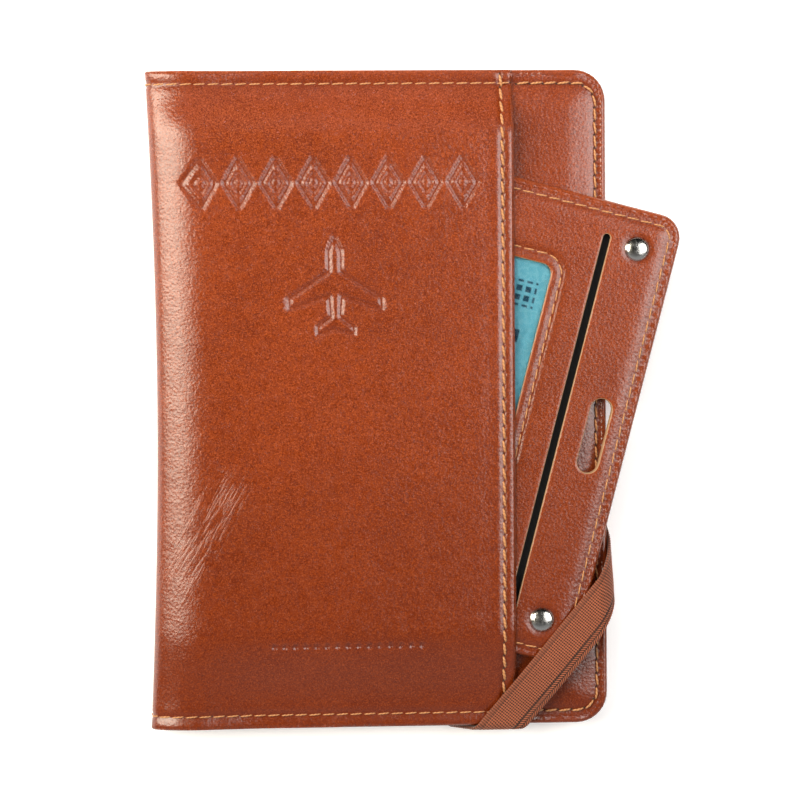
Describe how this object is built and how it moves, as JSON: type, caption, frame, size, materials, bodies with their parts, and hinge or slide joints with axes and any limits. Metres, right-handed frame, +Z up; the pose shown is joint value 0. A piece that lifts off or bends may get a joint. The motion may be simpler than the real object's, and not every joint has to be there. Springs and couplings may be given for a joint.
{
  "type": "passport holder",
  "caption": "Leather passport holder that folds at its spine, with a front slip pocket, a lift-out card holder with a window, and an elastic band over one corner.",
  "frame": {"origin": "centre of the back cover's outer face", "axes": "+X from the spine to the fore-edge, +Y from foot to head, +Z up through the closed holder, away from the back cover"},
  "size_m": [0.1159, 0.1442, 0.0122],
  "materials": {
    "outer_leather": "soft gloss, tan, fine grain",
    "inner_leather": "satin, tan",
    "lining_cloth": "matt brown cloth",
    "board": "raw greyboard",
    "thread": "waxed golden tan thread",
    "elastic": "woven ribbed elastic",
    "liner": "matt black cloth",
    "film": "clear vinyl",
    "card": "plain teal card",
    "polished_nickel": "polished nickel",
    "plain_steel": "plain steel"
  },
  "bodies": {
    "back_cover": {"back_leather": "outer_leather", "back_board": "board", "back_lining": "lining_cloth", "passport_sleeve": "inner_leather", "back_stitching": "thread", "elastic_ends": "elastic"},
    "spine": {"spine_leather": "outer_leather", "spine_lining": "lining_cloth"},
    "front_cover": {"front_leather": "outer_leather", "front_board": "board", "front_lining": "lining_cloth", "upper_card_slot": "inner_leather", "middle_card_slot": "inner_leather", "lower_card_slot": "inner_leather", "slot_stitching": "thread", "pocket_panel": "outer_leather", "mouth_stitching": "thread", "front_stitching": "thread"},
    "card_holder": {"holder_front": "outer_leather", "holder_back": "outer_leather", "holder_liner": "liner", "window_film": "film", "window_stitching": "thread", "holder_stitching": "thread", "rivet_caps": "polished_nickel", "rivet_posts": "plain_steel"},
    "card": {"window_card": "card"},
    "band": {"elastic_band": "elastic"}
  },
  "joints": [
    {"name": "spine_fold", "type": "hinge", "parent": "back_cover", "child": "spine", "pos_m": [-0.05, 0, 0], "axis": [0, -1, 0], "range_deg": [0, 90], "deforming": ["elastic_band"]},
    {"name": "cover_fold", "type": "hinge", "parent": "spine", "child": "front_cover", "pos_m": [-0.05, 0, 0.0122], "axis": [0, -1, 0], "range_deg": [0, 90]},
    {"name": "holder_slide", "type": "slide", "parent": "front_cover", "child": "card_holder", "axis": [0.9673, -0.2538, 0], "range_m": [-0.003, 0.066], "deforming": ["elastic_band"]},
    {"name": "card_shift", "type": "slide", "parent": "card_holder", "child": "card", "axis": [0.9673, -0.2538, 0], "range_m": [-0.001, 0.0045]},
    {"name": "band_slip", "type": "slide", "parent": "back_cover", "child": "band", "axis": [0.7705, -0.6374, 0], "range_m": [0, 0.024], "stiffness_N_per_m": 50, "springref_m": -0.008, "deforming": ["elastic_band"]}
  ],
  "couplings": [
    {"joint": "cover_fold", "follows": "spine_fold", "ratio": 1}
  ]
}
